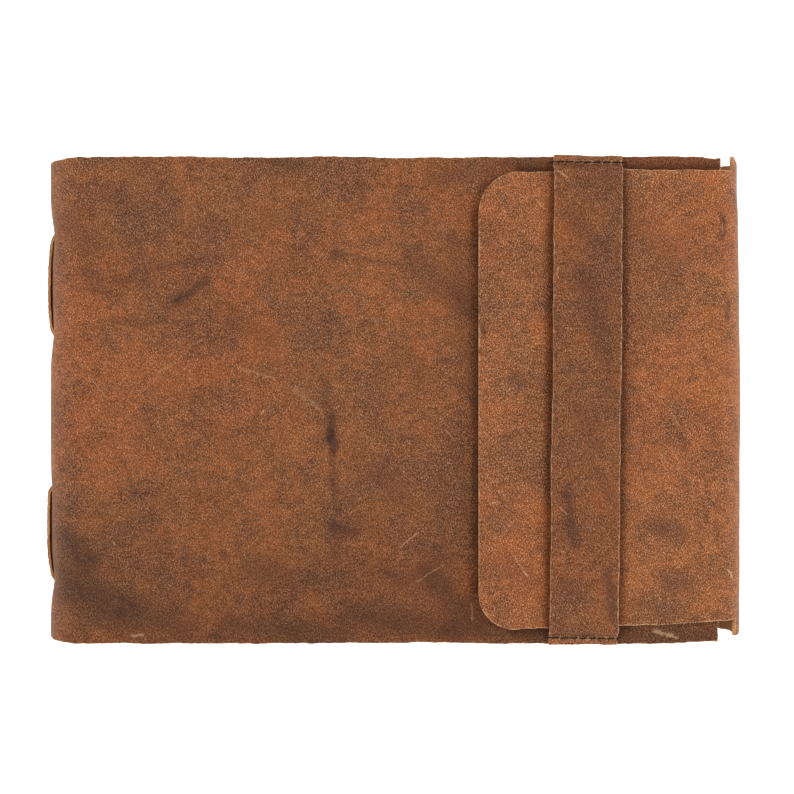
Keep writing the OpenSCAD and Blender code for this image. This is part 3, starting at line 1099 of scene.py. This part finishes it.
def make_strap():
    x, y = strap_grid()
    half = STRAP_W / 2
    uv = np.stack([x, y], axis=2)
    keep = np.ones((x.shape[0] - 1, x.shape[1] - 1), bool)
    edge = distance_to_cut(uv, keep, ())
    # only the outermost rows wander
    at_side = np.sign(x) * (np.abs(x) / half) ** 6
    at_end = np.sign(y) * (np.abs(y) / STRAP_END) ** 200
    wide = x + at_side * cut_wander(y, 6 + np.sign(x))
    long = y + at_end * cut_wander(x, 9)
    climb = ease((STRAP_LIFT_Y + STRAP_DROP - np.abs(y)) / STRAP_DROP)
    base = COVER_TOP + (STRAP_TOP - LEATHER - COVER_TOP) * climb
    where = strap_to_frame(wide, long, base)
    arch = STRAP_ARCH * ease((STRAP_LIFT_Y - np.abs(y)) / (30 * MM))
    crown = STRAP_CROWN * (1 - (x / half) ** 2) * climb
    base = base + cover_wave(where[..., 0], where[..., 1]) + arch + crown
    top = base + LEATHER - rounded_edge(edge) * 1.2 - stitch_dents(x, y)
    under = base + rounded_edge(edge) * 0.6
    obj = leather_sheet("strap", strap_to_frame(wide, long, top), strap_to_frame(wide, long, under),
                        uv, keep, STRAP_SKINS, raw_places(x, y, edge), STRAP_STAINS, STRAP_SCRATCHES)
    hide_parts("closure_strap")
    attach(obj, "front_cover")


make_strap()


# ==== Stitches: each one a two-ply thread from hole to hole
PLY_RADIUS = 0.15 * MM
PLY_OFFSET = 0.12 * MM                     # from the middle of the thread
PLY_TURNS = 1.3                            # in one stitch


def stitch_middle(a, b, row, rng):
    """The middle line of a stitch between the holes a and b, across the strap's own place."""
    half = STRAP_W / 2
    strap_z = COVER_TOP + LEATHER
    za = strap_z if abs(a) < half else COVER_TOP
    zb = strap_z if abs(b) < half else COVER_TOP
    slant = rng.uniform(0.10, 0.35) * MM
    t = np.linspace(0, 1, 17)
    x = a + (b - a) * (0.04 + 0.92 * t)
    y = row + slant * (t - 0.5) + rng.uniform(-0.06, 0.06) * MM
    over = np.where(np.abs(x) < half + 0.25 * MM, strap_z, COVER_TOP)
    sunk = np.abs(2 * t - 1) ** 7
    z = np.maximum(za + (zb - za) * t, over - 0.15 * MM) + (0.16 - 1.0 * sunk) * MM
    return t, x, y, z


def make_stitches(name, node, side, seed):
    rng = np.random.default_rng(seed)
    gather = Gather()
    holes = stitch_holes()
    for a, b in zip(holes[:-1], holes[1:]):
        t, x, y, z = stitch_middle(a, b, side * STITCH_Y, rng)
        for ply in (0, math.pi):
            turn = ply + t * 2 * math.pi * PLY_TURNS + rng.uniform(0, 1)
            points = strap_to_frame(x, y + PLY_OFFSET * np.cos(turn), z + PLY_OFFSET * np.sin(turn))
            gather.add(*tube(points, PLY_RADIUS, sides=7))
    obj = gather.object(name, [dark_thread])
    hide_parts(node)
    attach(obj, "front_cover")


make_stitches("stitches_head", "strap_stitches_head", 1, 21)
make_stitches("stitches_tail", "strap_stitches_tail", -1, 22)


# ==== Thongs and binding threads
def spine_surface(y, dz):
    """X of the spine's outer surface at a height dz from its middle."""
    x = SPINE_CX - SPINE_BULGE * np.sqrt(np.maximum(1 - (dz / (COVER_TOP / 2)) ** 2, 0))
    return x - spine_lift(np.full(np.shape(y), U_SPINE), y)


SPINE_X = SPINE_CX - SPINE_BULGE
TAIL_X = SPINE_X + LEATHER + 0.62 * MM     # the outer face of the thongs' inner tails


def thong_tail(slit, away):
    """The tail inside the spine, from its free end to the slit."""
    middle = TAIL_X + THONG_T / 2
    tail = [(middle + 0.1 * MM, slit + away * THONG_TAIL * t) for t in (1, 0.75, 0.5, 0.25)]
    return tail + [(middle - 0.3 * MM, slit + away * 0.6 * MM), (SPINE_X + LEATHER / 2, slit)]


def thong_line(high, low, bulge):
    """The thong's middle line in X and Y, from one inner tail to the other."""
    span = np.linspace(0, 1, 26)[1:-1]
    y = low + (high - low) * span
    lift = 0.12 * MM + bulge * np.sin(np.pi * span) ** 0.8
    x = spine_surface(y, 0) - THONG_T / 2 - lift
    return np.array(thong_tail(low, -1) + list(zip(x, y)) + thong_tail(high, 1)[::-1])


def smooth_line(points, count):
    """An even, rounded run of points through the given ones."""
    for _ in range(2):
        inner = (points[:-2] + 2 * points[1:-1] + points[2:]) / 4
        points = np.concatenate([points[:1], inner, points[-1:]])
    length = arc_lengths(points)
    s = np.linspace(0, length[-1], count)
    x = np.interp(s, length, points[:, 0])
    y = np.interp(s, length, points[:, 1])
    return np.stack([x, y], axis=1), s


def make_thong(name, node, high, low, bulge, seed):
    line, s = smooth_line(thong_line(high, low, bulge), 150)
    tangent = tangents(line)
    line_x, line_y = line[:, :1], line[:, 1:]
    normal_x, normal_y = -tangent[:, 1:], tangent[:, :1]
    across = grid_lines(-THONG_W / 2, THONG_W / 2, 0.9 * MM, cuts=(-THONG_W / 2, THONG_W / 2))
    ss, zz = np.meshgrid(s, across, indexing="ij")
    uv = np.stack([ss, zz], axis=2)
    keep = np.ones((len(s) - 1, len(across) - 1), bool)
    edge = distance_to_cut(uv, keep, ())
    round_off = spine_surface(line_y, zz) - spine_surface(line_y, 0)
    height = COVER_TOP / 2 + zz + (zz / (THONG_W / 2)) * cut_wander(ss, seed)
    slim = THONG_T / 2 - rounded_edge(edge) * 0.7 + 0.07 * MM * cut_tiny(ss, seed)

    def side(offset):
        x = line_x + normal_x * offset + round_off * 0.8
        y = line_y + normal_y * offset
        return np.stack([x, y, height], axis=2)

    obj = leather_sheet(name, side(slim), side(-slim), uv, keep, THONG_SKINS, edge)
    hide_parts(node)
    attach(obj, "spine")


make_thong("thong_head", "binding_thong_head", SLITS[0], SLITS[1], 0.45 * MM, 11)
make_thong("thong_tail", "binding_thong_tail", SLITS[2], SLITS[3], 0.35 * MM, 12)


def make_binding_thread(name, node, high, low, seed):
    """Three turns of two-ply thread over each tail of a thong."""
    rng = np.random.default_rng(seed)
    gather = Gather()
    t = np.linspace(-1, 1, 13)
    x = TAIL_X + THONG_T + 0.25 * MM - 0.9 * MM * np.abs(t) ** 6
    z = COVER_TOP / 2 + t * (THONG_W / 2 + 0.4 * MM)
    for slit, away in ((high, 1), (low, -1)):
        for turn in range(3):
            y = slit + away * (2 * MM + THONG_TAIL * 0.3 * turn)
            lean = rng.uniform(-0.3, 0.3) * MM
            for ply in (0, math.pi):
                twist = ply + t * 9
                points = [x + 0.1 * MM * np.cos(twist), y + lean * t + 0.1 * MM * np.sin(twist), z]
                gather.add(*tube(np.stack(points, axis=1), 0.17 * MM, sides=6))
    obj = gather.object(name, [linen_thread])
    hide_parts(node)
    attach(obj, "spine")


make_binding_thread("binding_thread_head_turns", "binding_thread_head", SLITS[0], SLITS[1], 31)
make_binding_thread("binding_thread_tail_turns", "binding_thread_tail", SLITS[2], SLITS[3], 32)


# ==== Page sections: folded sheets, one inside the other
SECTIONS = 10
SHEETS = 5                                 # in each section
AIR = 0.18                                 # of a sheet's room is left free
FORE_TRIM = 0.3 * MM
FORE_STEP = 0.12 * MM                      # the inner sheets stand out further
BODIES = frame["record"]["behaviour"]["bodies"]
BODY_OF = {node: body for body, nodes in BODIES.items() for node in nodes}


def folded_sheet(low, high, number, rng):
    """One sheet, folded round the ones inside it. Its profile is a flat U."""
    thick = (high.z - low.z) / (2 * SHEETS)
    outside = (high.z - low.z) / 2 - number * thick
    inside = outside - thick * (1 - AIR)
    middle = (high.z + low.z) / 2
    fold = low.x + number * thick + (high.z - low.z) / 2
    fore = high.x - FORE_TRIM + number * FORE_STEP + rng.uniform(-0.12, 0.12) * MM
    arc = np.radians(np.linspace(90, 270, 9))
    profile = [(fore, middle + outside)]
    profile += [(fold + outside * math.cos(t), middle + outside * math.sin(t)) for t in arc]
    profile += [(fore, middle - outside), (fore, middle - inside)]
    inner = max(inside, 0.02 * MM)
    profile += [(fold + inner * math.cos(t), middle + inner * math.sin(t)) for t in arc[::-1]]
    profile += [(fore, middle + inside)]
    ends = (low.y + rng.uniform(0.0, 0.35) * MM, high.y + rng.uniform(-0.35, 0.0) * MM)
    skew = rng.uniform(-0.0006, 0.0006)
    count = len(profile)
    vertices = [(x, y + skew * x, z) for y in ends for x, z in profile]
    faces = [(k, (k + 1) % count, count + (k + 1) % count, count + k) for k in range(count)]
    half = count // 2
    for base, flip in ((0, False), (count, True)):
        for k in range(half - 1):
            quad = [base + k, base + k + 1, base + count - 2 - k, base + count - 1 - k]
            faces.append(tuple(quad[::-1]) if flip else tuple(quad))
    return vertices, faces


def make_section(number):
    node = f"page_section_{number:02d}"
    rng = np.random.default_rng(100 + number)
    low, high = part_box(node)
    gather = Gather()
    for sheet in range(SHEETS):
        gather.add(*folded_sheet(low, high, sheet, rng))
    obj = gather.object(f"section_{number:02d}_sheets", [paper], sharp=35)
    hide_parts(node)
    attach(obj, BODY_OF[node])


for number in range(1, SECTIONS + 1):
    make_section(number)


# ==== Floor, light and camera
FLOOR_REACH = 40.0
FLOOR_GAP = 0.3 * MM                       # below the cover
FLOOR_GLOW = 0.80                          # keeps the floor white
DAYLIGHT = 0.07                            # the sky as it lights things
SKY_SEEN = 0.95                            # the sky as the camera sees it
SOFTBOXES = [                              # name, place, size in metres, power in watts
    ("left_box", (-1.10, 0.10, 0.78), (0.5, 1.3), 15.5),
    ("right_box", (1.10, 0.10, 0.78), (0.5, 1.3), 15.5),
    ("head_box", (0.0, 1.25, 0.75), (1.6, 0.5), 3.5),
    ("tail_box", (0.0, -1.20, 0.70), (1.6, 0.5), 9.0),
]


def make_floor():
    r = FLOOR_REACH
    corners = [(-r, -r, 0), (r, -r, 0), (r, r, 0), (-r, r, 0)]
    material, n = new_material("floor")
    shader = n.add("ShaderNodeBsdfPrincipled")
    shader.inputs["Base Color"].default_value = (0.90, 0.90, 0.90, 1)
    shader.inputs["Roughness"].default_value = 0.9
    shader.inputs["Specular IOR Level"].default_value = 0.1
    shader.inputs["Emission Color"].default_value = (1, 1, 1, 1)
    shader.inputs["Emission Strength"].default_value = FLOOR_GLOW
    n.add("ShaderNodeOutputMaterial", (shader.outputs[0],))
    floor = new_object("floor", corners, [(0, 1, 2, 3)], [material], smooth=False)
    floor.location.z = -FLOOR_GAP


def softbox(name, place, size, power):
    """A soft light that faces the middle of the cover."""
    data = bpy.data.lights.new(name, "AREA")
    data.shape = "RECTANGLE"
    data.size, data.size_y = size
    data.energy = power
    lamp = put_in_scene(name, data)
    lamp.location = place
    lamp.rotation_euler = (-Vector(place)).to_track_quat("-Z", "Y").to_euler()


def make_light():
    world = bpy.data.worlds.new("studio")
    bpy.context.scene.world = world
    world.use_nodes = True
    n = Nodes(world.node_tree)
    seen = n.add("ShaderNodeLightPath").outputs["Is Camera Ray"]
    strength = n.remap(seen, 0.0, 1.0, DAYLIGHT, SKY_SEEN)
    sky = n.add("ShaderNodeBackground", ((1.0, 1.0, 1.0, 1.0), strength))
    n.add("ShaderNodeOutputWorld", (sky.outputs[0],))
    for settings in SOFTBOXES:
        softbox(*settings)


def make_camera():
    """Straight above, so far off that the back cover looks about one part in twenty smaller."""
    distance = 0.530
    view_width = 0.2887
    sensor = 36.0
    data = bpy.data.cameras.new("camera")
    data.sensor_width = sensor
    data.lens = sensor * distance / view_width
    camera = put_in_scene("camera", data)
    camera.location = (0.9 * MM, 1.1 * MM, COVER_TOP + distance)
    bpy.context.scene.camera = camera


make_floor()
make_light()
make_camera()
bpy.context.scene.view_settings.view_transform = "Standard"
